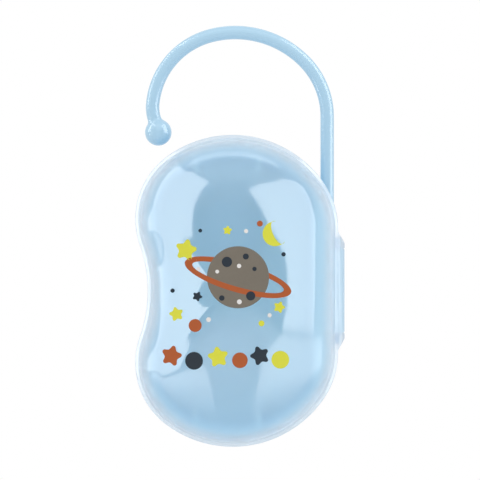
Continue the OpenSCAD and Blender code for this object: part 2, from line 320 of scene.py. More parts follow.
SPINE_X, SPINE_IN = 31.5, 29.8
BASE_OUTER = (
    [(3.1, -4), (2.95, -3.9), (2.8, -3.6), (2.8, 0), (2.8, 3.2)]
    + [(2.83, 3.35, 35.5), (2.9, 3.6, SPINE_X), (3.3, 6.5, SPINE_X), (3.8, 10, SPINE_X)]
    + [(*q, SPINE_X) for q in curve((3.8, 10), (4.8, 16.5), (8, 21.6), (13.5, 22), 18)]
    + [(d, 22, SPINE_X) for d in (18, 24, 31, 36)]
)
BASE_INNER = (
    [(4.2, -4), (4.4, -3.8), (4.5, -3.3), (4.5, 0), (4.5, 1.5)]
    + [(4.6, 1.9, SPINE_IN), (5, 6, SPINE_IN), (5.5, 10, SPINE_IN)]
    + [(*q, SPINE_IN) for q in curve((5.5, 10), (6.4, 15.2), (9.2, 19.9), (13.9, 20.3), 16)]
    + [(d, 20.3, SPINE_IN) for d in (18, 24, 31, 36)]
)
HINGE, KNUCKLE_R, KNUCKLE_HALF = (38.4, 3.0), 2.7, 15.9
PIN_R, PIN_BORE = 1.1, 1.15
SHANK, SHANK_BORE, RIDGE_R, RIDGE_Z = (34.7, 8.6), 2.68, 2.42, -8
BOSS_R, BOSS_FOOT, BOSS_TOP = 4.2, -14, 15.5
KNUCKLE_EDGE, BOSS_EDGE, GUSSET_EDGE = 0.25, 0.35, 0.3
SOCKET_FOOT, BORE_END = -15, 17  # past the ends of the block, so that the bores are open
RIDGE_SLOPE, RIDGE_FLAT = 0.75, 0.45  # from the ridge's middle to the ends of its slopes and flat
EAR_TOP, EAR_ROOM, NOTCH_R = 22.5, 0.4, 3.1
WAIST_X = -33.84
CROWN_X, CROWN_Z, CROWN_R = -1.573, 17.243, 42
RIB_XS, RIB_T, RIB_DEPTH, RIB_SLOPE = (-15.9, 8.5), 1.2, 11.8, 1.2
RIB_BURY = 3.65  # from the case's outline to the rib's end inside the wall
ROOM_END = 45.6  # from the middle to where the ribs and the drills of the vents begin
MID_X = sum(RIB_XS) / 2


def rib(x, side):
    """An upright rib that ends in the bowl's wall, at the upper or lower end."""
    top = CROWN_Z + sqrt(CROWN_R**2 - (x - CROWN_X) ** 2) - RIB_BURY
    profile = [(0, ROOM_END), (0, top), (2, top)]
    profile += [(RIB_DEPTH, top - RIB_SLOPE), (RIB_DEPTH, ROOM_END)]
    section = [[(x + s * RIB_T / 2, y, side * z) for y, z in profile] for s in (-1, 1)]
    return stack("rib", section)


def grown(thing, name, inputs, build, material):
    """Runs Geometry Nodes with named inputs on a thing, and leaves one plain mesh.

    The inputs are {name: (kind, value)}, and build makes the form from a wire and the inputs.
    """
    tree = bpy.data.node_groups.new(name, "GeometryNodeTree")
    face = tree.interface
    face.new_socket("Geometry", in_out="INPUT", socket_type="NodeSocketGeometry")
    keys = {
        label: face.new_socket(label, in_out="INPUT", socket_type="NodeSocket" + kind)
        for label, (kind, _) in inputs.items()
    }
    face.new_socket("Geometry", in_out="OUTPUT", socket_type="NodeSocketGeometry")
    wire = Wire(tree)
    given = tree.nodes.new("NodeGroupInput")
    form = build(wire, {s.name: Wire(tree, s) for s in given.outputs})
    whole = wire.node("GeometryNodeRealizeInstances", sockets={0: form})
    coated = wire.node("GeometryNodeSetMaterial", sockets={"Geometry": whole, "Material": material})
    end = tree.nodes.new("NodeGroupOutput")
    tree.links.new(coated.socket, end.inputs[0])
    work = thing.modifiers.new(name, "NODES")
    work.node_group = tree
    for label, (_, value) in inputs.items():
        work[keys[label].identifier] = value
    return flatten(thing)


def vented(wire, take):
    """The bowl with a row of steam vents drilled through its upper and its lower wall."""
    step = wire.node("ShaderNodeCombineXYZ", sockets={"X": take["Pitch"]})
    row = wire.node("GeometryNodeMeshLine", sockets={"Count": take["Count"], "Offset": step})
    drill = wire.node(
        "GeometryNodeMeshCylinder",
        {"fill_type": "NGON"},
        {"Vertices": 40, "Radius": take["Radius"], "Depth": take["Reach"]},
    )
    drills = wire.node("GeometryNodeInstanceOnPoints", sockets={"Points": row, "Instance": drill})
    first = MID_X * MM - 0.5 * (take["Count"] - 1) * take["Pitch"]
    cutters = wire.tree.nodes.new("GeometryNodeJoinGeometry")
    for side in (1, -1):
        middle = side * (take["Height"] + 0.5 * take["Reach"]) + CASE_PLACE[2] * MM
        place = wire.node(
            "ShaderNodeCombineXYZ",
            sockets={"X": first, "Y": take["Depth"] + CASE_PLACE[1] * MM, "Z": middle},
        )
        moved = wire.node(
            "GeometryNodeTransform", sockets={"Geometry": drills, "Translation": place}
        )
        wire.tree.links.new(moved.socket, cutters.inputs[0])
    joined = Wire(wire.tree, cutters.outputs[0])
    solid = wire.node("GeometryNodeRealizeInstances", sockets={0: joined})
    return wire.node(
        "GeometryNodeMeshBoolean",
        {"operation": "DIFFERENCE", "solver": "EXACT"},
        {"Mesh 1": take["Geometry"], "Mesh 2": solid},
    )


shell_blue = moulded_plastic("shell_blue", srgb(165, 206, 231), srgb(173, 212, 236), 0.24)
# The inside's copy of the blue is darker and carries a painted glow that lifts the shade in the
# bowl.
bowl_blue = moulded_plastic("bowl_blue", srgb(134, 180, 202), srgb(142, 187, 208), 0.45, 0.5)
VENTS = {
    "Count": ("Int", 3),
    "Pitch": ("Float", 6.3 * MM),
    "Radius": ("Float", 1.1 * MM),
    "Depth": ("Float", 6.0 * MM),
    "Height": ("Float", ROOM_END * MM),
    "Reach": ("Float", 20.0 * MM),
}
gusset = [
    (SPINE_X - 0.5, 3.4),
    HINGE,
    (HINGE[0] + KNUCKLE_R / 2, HINGE[1] + 2.24),
    (SHANK[0] + BOSS_R - 0.2, SHANK[1] - 0.4),
    (SPINE_X - 0.5, SHANK[1] + 1.3),
]
leaf = [(34.6, 0.5), (HINGE[0], 0.5), (HINGE[0], 3.9), (34.6, 3.9)]
KNUCKLE_ENDS = [
    (KNUCKLE_R - KNUCKLE_EDGE, -KNUCKLE_HALF),
    (KNUCKLE_R, -KNUCKLE_HALF + KNUCKLE_EDGE),
]
KNUCKLE_ENDS += [(r, -z) for r, z in reversed(KNUCKLE_ENDS)]
BOSS_ENDS = [(BOSS_R - BOSS_EDGE, BOSS_FOOT), (BOSS_R, BOSS_FOOT + BOSS_EDGE)]
BOSS_ENDS += [(BOSS_R, BOSS_TOP - BOSS_EDGE), (BOSS_R - BOSS_EDGE, BOSS_TOP)]
SOCKET = [
    (SHANK_BORE, SOCKET_FOOT),
    (SHANK_BORE, RIDGE_Z - RIDGE_SLOPE),
    (RIDGE_R, RIDGE_Z - RIDGE_FLAT),
    (RIDGE_R, RIDGE_Z + RIDGE_FLAT),
    (SHANK_BORE, RIDGE_Z + RIDGE_SLOPE),
    (SHANK_BORE, BORE_END),
]
EAR_NOTCH = [(NOTCH_R, KNUCKLE_HALF), (NOTCH_R, EAR_TOP + EAR_ROOM)]
bowl = loft("back_bowl", BASE_OUTER + BASE_INNER[::-1], len(BASE_OUTER) - 1, (22, 20.3))
foot = loft(
    "foot",
    [(14.5, 21.5), (14.5, 22.55), (14.75, 22.8), (16.75, 22.8), (17, 22.55), (17, 21.5)],
)
carve(
    bowl,
    add=[
        foot,
        *[rib(x, side) for x in RIB_XS for side in (1, -1)],
        turned("knuckle", HINGE, KNUCKLE_ENDS),
        prism("leaf", leaf, -KNUCKLE_HALF, KNUCKLE_HALF),
        turned("boss", SHANK, BOSS_ENDS),
        soften(prism("gusset", gusset, BOSS_FOOT, BOSS_TOP), GUSSET_EDGE),
        turned("bead", (WAIST_X + 3.1, 1.6), [(0.3, -5.5), (0.6, -5.2), (0.6, 5.2), (0.3, 5.5)]),
    ],
    cut=[
        turned("pin_bore", HINGE, [(PIN_BORE, -BORE_END), (PIN_BORE, BORE_END)]),
        turned("socket", SHANK, SOCKET),
        turned("ear_notch_high", HINGE, EAR_NOTCH),
        turned("ear_notch_low", HINGE, [(r, -z) for r, z in reversed(EAR_NOTCH)]),
    ],
)
grown(bowl, "steam_vents", VENTS, vented, shell_blue)
shade(bowl, shell_blue)
# The inside takes a darker copy of the blue with a painted glow that lifts its shade, on the faces
# that look to the bowl's middle or out of its front.
bowl.data.materials.append(bowl_blue)
STEEP = 0.5  # how far a face leans to the front or the back before it counts as looking there
for face in bowl.data.polygons:
    across = face.center - Vector(CASE_PLACE) * MM
    inward = face.normal.x * across.x + face.normal.z * across.z < 0
    face.material_index = int(face.normal.y < STEEP and (inward or face.normal.y < -STEEP))
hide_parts("back_shell")
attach(bowl, "shell")

# ---- Steam tray
# A loose tray of the same blue polypropylene on four feet, which keeps both soothers above
# the water. It is moulded with two cradle rings and a row of drain slots in each.

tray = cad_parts["steam_tray"]
# The tray's darker blue carries a painted glow that lifts its shade under the lid.
coat(tray, moulded_plastic("tray_blue", srgb(126, 177, 203), srgb(136, 186, 210), 0.45, 0.22))

# ---- Hinge pin
# A plain rod of hard plastic, cut to length. It is pressed into both ears of the lid and
# turns in the knuckle of the back shell.

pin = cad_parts["hinge_pin"]
coat(pin, moulded_plastic("pin_plastic", srgb(170, 206, 231), srgb(180, 214, 238)))

# ---- Lid
# A clear polypropylene dome with a low camber, a rolled lip and a rebate that shuts over the
# bowl's rim. Its two hinge ears and the snap tab at the waist are moulded in one with it.

LID_H, LID_CAMBER, LID_WALL = 26, 5, 1.4
FACE_DEPTHS = [12, 14, 16, 18.5, 21, 23.5, 26, 28.5, 31, 33.5, 36, 37.6]


def face_y(depth, height):
    """Where the cambered face stands at an inset from the outline."""
    return -(height - LID_CAMBER * (1 - depth / HALF_W) ** 2)


FACE_START, INNER_START, INNER_H = 10.5, 10.9, LID_H - LID_WALL
LID_OUTER = (
    [(0.15, 0), (0.04, -0.06), (0, -0.2), (0, -1.2), (0.05, -1.42), (0.2, -1.58), (0.45, -1.64)]
    + [(1.1, -1.74), (1.22, -1.86), (1.3, -2.3), (1.6, -4.3), (2, -8.2), (2.4, -12)]
    + curve(
        (2.4, -12),
        (3.2, -19),
        (5.8, face_y(FACE_START, LID_H) + 0.9),
        (FACE_START, face_y(FACE_START, LID_H)),
        28,
    )
    + [(d, face_y(d, LID_H)) for d in FACE_DEPTHS]
)
LID_INNER = (
    [(2.3, 0), (2.35, -1), (2.5, -4.3), (3.2, -4.35), (3.5, -8), (3.8, -12)]
    + curve(
        (3.8, -12),
        (4.6, -18.2),
        (6.8, face_y(INNER_START, INNER_H) + 0.85),
        (INNER_START, face_y(INNER_START, INNER_H)),
        24,
    )
    + [(d, face_y(d, INNER_H)) for d in FACE_DEPTHS]
)
EAR_LOW, EAR_STRAIGHT, EAR_FRONT, EAR_BACK_X = 16.2, 18.1, -1.6, 36.3


def arc(x, y, radius, start, end, sides):
    """Points along a part of a circle."""
    turns = [radians(start + (end - start) * i / sides) for i in range(sides + 1)]
    return [(x + radius * cos(a), y + radius * sin(a)) for a in turns]


def ear(side):
    """One of the lid's knuckles; its outer end slopes back to the outline."""
    x, y = HINGE
    section = [(EAR_BACK_X, EAR_FRONT)]
    section += arc(x, EAR_FRONT + KNUCKLE_R, KNUCKLE_R, -90, 0, 16)
    section += arc(x, y, KNUCKLE_R, 0, 141, 24)
    levels = [EAR_LOW, EAR_STRAIGHT, *np.linspace(EAR_STRAIGHT, EAR_TOP, 9)[1:]]
    sections = []
    for z in levels:
        share = max(0, (z - EAR_STRAIGHT) / (EAR_TOP - EAR_STRAIGHT))
        limit = x + KNUCKLE_R - share * (x + KNUCKLE_R - HALF_W)
        sections.append([(min(px, limit), py, side * z) for px, py in section])
    return stack("ear", sections)


def eased(wire, value, start, end):
    """0 before start and 1 past end, with a soft step between them."""
    return wire.node(
        "ShaderNodeMapRange",
        {"interpolation_type": "SMOOTHSTEP"},
        {"Value": value, "From Min": start, "From Max": end},
    )


LID_TINT, LID_BLUR, LID_IOR = (0.93, 0.965, 0.985, 1), 0.5, 1.12
RIPPLE_STRENGTH, RIPPLE_DEPTH = 0.04, 0.0002
# The share of haze everywhere, in its clouds, where the wall is seen aslant, and at the lip.
HAZE, HAZE_CLOUDS, HAZE_ASLANT, HAZE_LIP = 0.01, 0.02, 0.62, 0.3
HAZE_FROM, HAZE_FULL = -0.0125, -0.0102  # the depths between which the lip turns hazy
SKIN, SKIN_ASLANT = 0.095, 0.1  # the share that the glossy skin mirrors, and more of it aslant


def clear_plastic(name):
    """Clear polypropylene: what lies behind it is softened by its haze, under a glossy skin."""
    material, wire = finish(name)
    place = wire.node("ShaderNodeTexCoord", out="Object")
    ripple = wire.node("ShaderNodeTexNoise", sockets={"Vector": place, "Scale": 60, "Detail": 2})
    cloud = wire.node("ShaderNodeTexNoise", sockets={"Vector": place, "Scale": 25, "Detail": 3})
    bump = wire.node(
        "ShaderNodeBump",
        sockets={"Strength": RIPPLE_STRENGTH, "Distance": RIPPLE_DEPTH, "Height": ripple},
    )
    facing = wire.node("ShaderNodeLayerWeight", sockets={"Blend": 0.5}, out="Facing")
    glass = wire.node(
        "ShaderNodeBsdfGlass",
        sockets={"Color": LID_TINT, "Roughness": LID_BLUR, "IOR": LID_IOR, "Normal": bump},
    )
    milk = wire.node(
        "ShaderNodeBsdfPrincipled",
        sockets={"Base Color": srgb(194, 213, 230), "Roughness": 0.4, "Normal": bump},
    )
    depth = wire.node("ShaderNodeSeparateXYZ", sockets={"Vector": place}, out="Y")
    lip = eased(wire, depth, HAZE_FROM, HAZE_FULL)
    haze = HAZE + HAZE_CLOUDS * cloud + HAZE_ASLANT * facing**2 + HAZE_LIP * lip
    hazed = wire.node("ShaderNodeMixShader", sockets={0: haze, 1: glass, 2: milk})
    skin = wire.node(
        "ShaderNodeBsdfAnisotropic",
        sockets={"Color": (1, 1, 1, 1), "Roughness": 0.05, "Normal": bump},
    )
    shine = SKIN + SKIN_ASLANT * facing**12
    seen = wire.node("ShaderNodeMixShader", sockets={0: shine, 1: hazed, 2: skin})
    shadow = wire.node("ShaderNodeLightPath", out="Is Shadow Ray")
    unseen = wire.maths("MAXIMUM", shadow, shadow.other("Is Diffuse Ray"))
    clear = wire.node("ShaderNodeBsdfTransparent", sockets={"Color": (0.98, 0.99, 1, 1)})
    surface = wire.node("ShaderNodeMixShader", sockets={0: unseen, 1: seen, 2: clear})
    wire.node("ShaderNodeOutputMaterial", sockets={"Surface": surface})
    return material


STRIP_X, STRIP_BACK, STRIP_GAP, STRIP_BURY = 37, -0.2, 0.65, 0.5
STRIP_EDGE, EAR_EDGE, TAB_EDGE = 0.12, 0.3, 0.25
TAB_X, TAB_T, TAB_HALF, TAB_BACK = WAIST_X + 0.7, 1.2, 5.5, 4.6
SOCKET_R, SOCKET_IN, SOCKET_OUT = PIN_R + 0.02, 15, 20.3
lid_clear = clear_plastic("lid_clear")
lid = loft("lid_dome", LID_OUTER + LID_INNER[::-1], len(LID_OUTER) - 1, (-LID_H, -INNER_H))
tab = [(TAB_X, -1), (TAB_X + TAB_T, -1), (TAB_X + TAB_T, TAB_BACK), (TAB_X, TAB_BACK)]
front = EAR_FRONT + KNUCKLE_R
strip = arc(HINGE[0], front, KNUCKLE_R, -121.2, -28.8, 24)
strip += arc(*HINGE, KNUCKLE_R + STRIP_GAP, -72.8, -107.2, 10) + [(STRIP_X, STRIP_BACK)]
carve(
    lid,
    add=[
        soften(prism("strip", strip, -EAR_LOW - STRIP_BURY, EAR_LOW + STRIP_BURY), STRIP_EDGE),
        soften(ear(1), EAR_EDGE),
        soften(ear(-1), EAR_EDGE),
        soften(prism("tab", tab, -TAB_HALF, TAB_HALF), TAB_EDGE),
        turned("bead", (TAB_X + 0.8, 3.9), [(0.3, -4.8), (0.6, -4.5), (0.6, 4.5), (0.3, 4.8)], 32),
    ],
    cut=[
        turned("pin_hole_high", HINGE, [(SOCKET_R, SOCKET_IN), (SOCKET_R, SOCKET_OUT)]),
        turned("pin_hole_low", HINGE, [(SOCKET_R, -SOCKET_OUT), (SOCKET_R, -SOCKET_IN)]),
    ],
)
shade(lid, lid_clear)
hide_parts("front_lid")
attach(lid, "lid")

# ---- Print
# A ringed planet with a moon, stars and dots, printed on the dome in five colours of matt ink.
# Each film is 0.02 mm thick and follows the dome under it.

ROW_Z, FRONT_Y, FILM = -24.5, -40, 0.02
FILM_GAP, FILM_STEP = 0.01, 1.2 * FILM  # under the lowest films, and from one level to the next


def patch(name, inner, outer, rows=6, closed=True, capped=False):
    """A flat motif of unit size in x and z, as rows of faces between two lines of points."""
    count = len(outer)
    shares = np.linspace(0, 1, rows + 1)[:, None, None]
    grid = (1 - shares) * np.array(inner) + shares * np.array(outer)
    faces = [tuple(range(count))] if capped else []
    for i in range(0, rows * count, count):
        for j in range(count if closed else count - 1):
            k = (j + 1) % count
            faces.append((i + j, i + k, i + count + k, i + count + j))
    mesh = bpy.data.meshes.new(name)
    mesh.from_pydata([(x, 0, z) for x, z in grid.reshape(-1, 2)], [], faces)
    return bpy.data.objects.new(name, mesh)


def star_outline(points=5, hollow=0.52, sides=120, blunt=4):
    """A star with soft points: the straight-sided star, averaged over a few degrees."""
    radii = []
    for i in range(sides):
        share = abs((i * points / sides + 0.5) % 1 - 0.5) * 2
        a = share * pi / points
        radii.append(hollow * sin(pi / points) / (hollow * sin(pi / points - a) + sin(a)))
    radii = np.mean([np.roll(radii, k) for k in range(-blunt, blunt + 1)], axis=0)
    turns = np.arange(sides) * 2 * pi / sides + pi / 2
    return np.stack([radii * np.cos(turns), radii * np.sin(turns)], axis=1)


def ink(name, colour, shadow):
    """Matt printing ink with a fine mottle in its colour and its gloss."""
    material, wire = finish(name)
    place = wire.node("ShaderNodeTexCoord", out="Object")
    mottle = wire.node("ShaderNodeTexNoise", sockets={"Vector": place, "Scale": 900, "Detail": 3})
    cover = wire.node("ShaderNodeTexNoise", sockets={"Vector": place, "Scale": 150, "Detail": 2})
    tone = wire.node(
        "ShaderNodeMix",
        {"data_type": "RGBA"},
        {"Factor": 0.5 * mottle + 0.5 * cover, 6: shadow, 7: colour},
        out=2,
    )
    bump = wire.node(
        "ShaderNodeBump", sockets={"Strength": 0.3, "Distance": 0.00001, "Height": mottle}
    )
    surface = wire.node(
        "ShaderNodeBsdfPrincipled",
        sockets={"Base Color": tone, "Roughness": 0.42 + 0.14 * mottle, "Normal": bump},
    )
    wire.node("ShaderNodeOutputMaterial", sockets={"Surface": surface})
    return material


def laid_on_dome(wire, take):
    """The motif at each mark, sized and turned there, and moved back onto the dome."""
    size, turn = (
        wire.node("GeometryNodeInputNamedAttribute", {"data_type": "FLOAT"}, {"Name": label})
        for label in ("motif_size", "motif_turn")
    )
    shape, dome = (
        wire.node("GeometryNodeObjectInfo", sockets={"Object": take[k]}, out="Geometry")
        for k in ("Motif", "Dome")
    )
    spin = wire.node("ShaderNodeCombineXYZ", sockets={"Y": turn})
    placed = wire.node(
        "GeometryNodeInstanceOnPoints",
        sockets={"Points": take["Geometry"], "Instance": shape, "Rotation": spin, "Scale": size},
    )
    flat = wire.node("GeometryNodeRealizeInstances", sockets={0: placed})
    hit = wire.node(
        "GeometryNodeRaycast",
        sockets={"Target Geometry": dome, "Ray Direction": (0, 1, 0), "Ray Length": 0.1},
        out="Hit Position",
    )
    normal = hit.other("Hit Normal")
    rise = wire.node("ShaderNodeVectorMath", {"operation": "SCALE"}, {0: normal, 3: take["Lift"]})
    spot = wire.node("ShaderNodeVectorMath", {"operation": "ADD"}, {0: hit, 1: rise})
    return wire.node("GeometryNodeSetPosition", sockets={"Geometry": flat, "Position": spot})


def printed(name, motif, marks, material, lift):
    """One motif at each mark of (x, z, size, turn), as a film of ink on the dome."""
    xs, zs, sizes, turns = np.array(marks, float).T
    mesh = bpy.data.meshes.new(name)
    place = (np.stack([xs, 0 * xs + FRONT_Y, zs], axis=1) + CASE_PLACE) * MM
    mesh.from_pydata(place.tolist(), [], [])
    for label, values in (("motif_size", sizes * MM), ("motif_turn", np.radians(turns))):
        mesh.attributes.new(label, "FLOAT", "POINT").data.foreach_set("value", values)
    thing = stand(name, mesh)
    inputs = {"Motif": ("Object", motif), "Dome": ("Object", lid), "Lift": ("Float", lift * MM)}
    grown(thing, "printed_motifs", inputs, laid_on_dome, material)
    film = thing.modifiers.new("film", "SOLIDIFY")
    film.thickness, film.offset = FILM * MM, 1
    shade(flatten(thing), material)
    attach(thing, "lid")


SIDES = 96
RING_IN, RING_OUT = (0.86, 0.17), (1, 0.27)  # the half width and height of the ring's edges
MOON_FROM, MOON_TO, MOON_HOLLOW, MOON_SHIFT = 62, 298, 0.42, 0.272
turns = np.linspace(0, 2 * pi, SIDES, endpoint=False)
circle = np.stack([np.cos(turns), np.sin(turns)], axis=1)
star = star_outline()
half = circle[[*range(SIDES // 2, SIDES), 0]]
moon_turns = np.linspace(radians(MOON_FROM), radians(MOON_TO), 60)
moon_rim = np.stack([np.cos(moon_turns), np.sin(moon_turns)], axis=1)
moon_hollow = moon_rim * (MOON_HOLLOW, 1) + (MOON_SHIFT, 0)
MOTIFS = {
    "dot": patch("dot", 0.08 * circle, circle, capped=True),
    "globe": patch("globe", 0.04 * circle, circle, rows=14, capped=True),
    "star": patch("star", 0.08 * star, star, capped=True),
    "ring": patch("ring", circle * RING_IN, circle * RING_OUT, rows=3),
    "ring_front": patch("ring_front", half * RING_IN, half * RING_OUT, rows=3, closed=False),
    "moon": patch("moon", moon_hollow, moon_rim, rows=5, closed=False),
}
orange = ink("ink_orange", srgb(186, 93, 38), srgb(176, 84, 32))
taupe = ink("ink_taupe", srgb(128, 120, 107), srgb(118, 110, 98))
slate = ink("ink_slate", srgb(44, 56, 68), srgb(34, 46, 58))
yellow = ink("ink_yellow", srgb(226, 225, 66), srgb(217, 217, 52))
white = ink("ink_white", srgb(236, 233, 230), srgb(228, 225, 222))
GLOBE = (0.5, 5.5)
LAYERS = [
    ("print_ring", "ring", orange, 0, [(*GLOBE, 20.5, 16)]),
    ("print_globe", "globe", taupe, 1, [(*GLOBE, 11.5, 0)]),
    ("print_ring_front", "ring_front", orange, 2, [(*GLOBE, 20.5, 16)]),
    (
        "print_craters",
        "dot",
        slate,
        3,
        [
            (-3.6, 11.2, 1.9, 0),
            (3.4, 13.2, 1.1, 0),
            (6.6, 8.6, 0.8, 0),
            (-5.5, -2.2, 1.0, 0),
            (5.2, -1.4, 1.7, 0),
            (-15.8, ROW_Z - 1, 3.3, 0),
            (17.4, 14, 0.8, 0),
            (-23.8, 0.5, 0.8, 0),
            (-13.5, 22.8, 0.7, 0),
        ],
    ),
    (
        "print_spots",
        "dot",
        white,
        3,
        [
            (0.9, 9.7, 0.8, 0),
            (-7.2, 7.6, 0.7, 0),
            (1.0, -3.6, 0.9, 0),
            (-14.2, 8.6, 0.7, 0),
            (12.2, -8.6, 0.8, 0),
            (-10.4, -10.2, 0.9, 0),
            (3.5, 22.6, 0.8, 0),
        ],
    ),
    ("print_moon", "moon", yellow, 0, [(14.2, 21.6, 4.6, -24)]),
    (
        "print_stars",
        "star",
        yellow,
        0,
        [(-18.8, 15.6, 4.8, 12), (-22.4, -8.2, 3.2, -14), (15.8, -5.6, 2.6, 20)]
        + [(-6.9, ROW_Z + 0.4, 4.6, -8), (-3.4, 22.9, 2, 6)],
    ),
    ("print_star_orange", "star", orange, 0, [(-24.2, ROW_Z + 0.8, 4.6, 14)]),
    ("print_star_slate", "star", slate, 0, [(8.6, ROW_Z + 0.9, 4.3, -20), (-14.6, -1.6, 2.2, 25)]),
    ("print_dots", "dot", yellow, 0, [(16.2, ROW_Z - 0.6, 3.3, 0), (9.2, -11.6, 1.1, 0)]),
    (
        "print_dots_orange",
        "dot",
        orange,
        0,
        [(1.2, ROW_Z - 0.8, 2.9, 0), (-15.4, -12.4, 2.4, 0), (8.6, 25.4, 1.1, 0)],
    ),
]
for name, motif, colour, level, marks in LAYERS:
    printed(name, MOTIFS[motif], marks, colour, FILM_GAP + FILM_STEP * level)
for motif in MOTIFS.values():
    bpy.data.objects.remove(motif)

# ---- Carry hook
# A round rod of light blue polypropylene, moulded in its bent shape with a ball at the tip.
# A collar stops it at the socket, and a groove near its end snaps over the socket's ridge.

HOOK_ARCS = [(30.2, 45), (37.4, 60), (29.8, 69.6), (15, 21.7)]
ROD_R, BALL_R, NECK_R, HOOK_DROP = 2.6, 5.1, 2.5, 96.3
NECK_STEPS, BALL_STEPS = 11, 40
(LOW_R, LOW_TURN), (HIGH_R, _) = HOOK_ARCS[:2]
BEND_RISE = LOW_R * sin(radians(LOW_TURN)) + HIGH_R * (1 - sin(radians(LOW_TURN)))
SHANK_TOP = HOOK_DROP + ROD_R - BEND_RISE  # where the straight rod ends and the bend begins
END_R = 0.02  # the radius at which the rod's two ends close
SHANK_PROFILE = [
    (END_R, -15.2),
    (1.7, -15.2),
    (1.95, -15.1),
    (2.52, -14.1),
    (2.6, -13.8),
    (2.6, -8.95),
    (2.55, -8.9),
    (2.3, -8.8),
    (2.3, -7.2),
    (2.55, -7.1),
    (2.6, -7.05),
    (2.6, 15.7),
    (2.65, 15.78),
    (2.8, 15.8),
    (2.9, 15.9),
    (2.9, 17.3),
    (2.8, 17.4),
    (2.62, 17.45),
    (2.6, 17.6),
]


def hook_path():
    """The rod's middle line from its shank to its tip, as (x, z) in mm, with its radii."""
    line = [(SHANK[0], z, r) for r, z in SHANK_PROFILE]
    line += [(SHANK[0], z, ROD_R) for z in np.linspace(20, SHANK_TOP, 12)[:-1]]
    bend, end, heading = along(HOOK_ARCS, (SHANK[0], SHANK_TOP), 90, 1.5)
    line += [(*p, ROD_R) for p, _ in bend]
    reach = sqrt((BALL_R + NECK_R) ** 2 - (ROD_R + NECK_R) ** 2)
    turn = np.arctan2(reach, ROD_R + NECK_R)
    ahead = np.array([cos(radians(heading)), sin(radians(heading))])
    for i in range(NECK_STEPS):
        a = pi - turn * i / NECK_STEPS
        line.append((*(end + NECK_R * sin(a) * ahead), ROD_R + NECK_R * (1 + cos(a))))
    for i in range(BALL_STEPS + 1):
        a = -turn + (pi / 2 + turn) * i / BALL_STEPS
        radius = max(END_R, BALL_R * cos(a))
        line.append((*(end + (reach + BALL_R * sin(a)) * ahead), radius))
    return line


def round_rod(wire, take):
    """A round section run along the line, at the radius that each point carries."""
    radius = wire.node(
        "GeometryNodeInputNamedAttribute", {"data_type": "FLOAT"}, {"Name": "rod_radius"}
    )
    middle = wire.node("GeometryNodeMeshToCurve", sockets={"Mesh": take["Geometry"]})
    section = wire.node(
        "GeometryNodeCurvePrimitiveCircle", sockets={"Resolution": take["Sides"], "Radius": 1.0}
    )
    return wire.node(
        "GeometryNodeCurveToMesh",
        sockets={"Curve": middle, "Profile Curve": section, "Scale": radius, "Fill Caps": True},
    )


def swept(name, line, depth, material, sides=56):
    """A round rod along a line of (x, z, radius) at one depth."""
    points = (np.array([(x, depth, z) for x, z, _ in line]) + CASE_PLACE) * MM
    mesh = bpy.data.meshes.new(name)
    mesh.from_pydata(points.tolist(), [(i, i + 1) for i in range(len(line) - 1)], [])
    mesh.attributes.new("rod_radius", "FLOAT", "POINT")
    mesh.attributes["rod_radius"].data.foreach_set("value", [r * MM for *_, r in line])
    return grown(stand(name, mesh), "round_rod", {"Sides": ("Int", sides)}, round_rod, material)


hook_blue = moulded_plastic("hook_blue", srgb(176, 213, 236), srgb(184, 219, 241), 0.16)
hook = swept("carry_rod", hook_path(), SHANK[1], hook_blue)
shade(hook, hook_blue)
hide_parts("carry_hook")
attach(hook, "hook")

# ---- Studio
# A light tent: even white light all round, a soft lamp above, bright panels whose reflections run
# down the left and the right of the lid, and two side lamps that only the hook mirrors. A dark
# card with soft edges stands for the camera's side, and a pale round floor lies below it all.

# The middle of the picture, its width at the case and the camera's distance, in mm.
VIEW_X, VIEW_Z, VIEW_W, VIEW_FAR = 1.24, -76.99, 182.6, 1000.0
SENSOR, PANEL_FAR, CARD_FAR = 36, 1000, 1300
CARD_FADES = [(0.04, 0.29), (-0.12, -0.27)]  # the heights where the card begins to fade and is gone
LAMP_SIDE, LAMP_RAISE = 74, 20  # degrees from the camera's side, and above the case


def aside(azimuth, elevation, far):
    """A place seen from the case's middle, in metres; azimuth is to the right of the camera."""
    a, e = radians(azimuth), radians(elevation)
    return (
        far * sin(a) * cos(e) * MM,
        (CASE_PLACE[1] - far * cos(a) * cos(e)) * MM,
        (CASE_PLACE[2] + far * sin(e)) * MM,
    )


def light_only(thing, lit):
    """Lets a lamp or a panel light one piece and leave the rest as it is."""
    group = bpy.data.collections.new(thing.name)
    group.objects.link(lit)
    thing.light_linking.receiver_collection = group


def lamp(name, azimuth, elevation, width, height, radiance, lit=None):
    """A soft lamp, sized in metres, that looks at the case; only the piece lit mirrors it."""
    light = bpy.data.lights.new(name, "AREA")
    light.shape, light.size, light.size_y = "RECTANGLE", width, height
    light.energy = radiance * pi * width * height
    thing = stand(name, light)
    thing.location = aside(azimuth, elevation, PANEL_FAR)
    thing.rotation_euler = (radians(90 - elevation), 0, radians(azimuth))
    thing.visible_camera = False
    if lit:
        thing.visible_diffuse = False
        light_only(thing, lit)


def dark_card(wire):
    """Black card that fades out towards its upper and its lower edge."""
    black = wire.node(
        "ShaderNodeBsdfPrincipled", sockets={"Base Color": srgb(20, 20, 22), "Roughness": 0.9}
    )
    place = wire.node("ShaderNodeTexCoord", out="Object")
    height = wire.node("ShaderNodeSeparateXYZ", sockets={"Vector": place}, out="Z")
    faded = wire.maths("MAXIMUM", *[eased(wire, height, *fade) for fade in CARD_FADES])
    air = wire.node("ShaderNodeBsdfTransparent")
    return wire.node("ShaderNodeMixShader", sockets={0: faded, 1: black, 2: air})


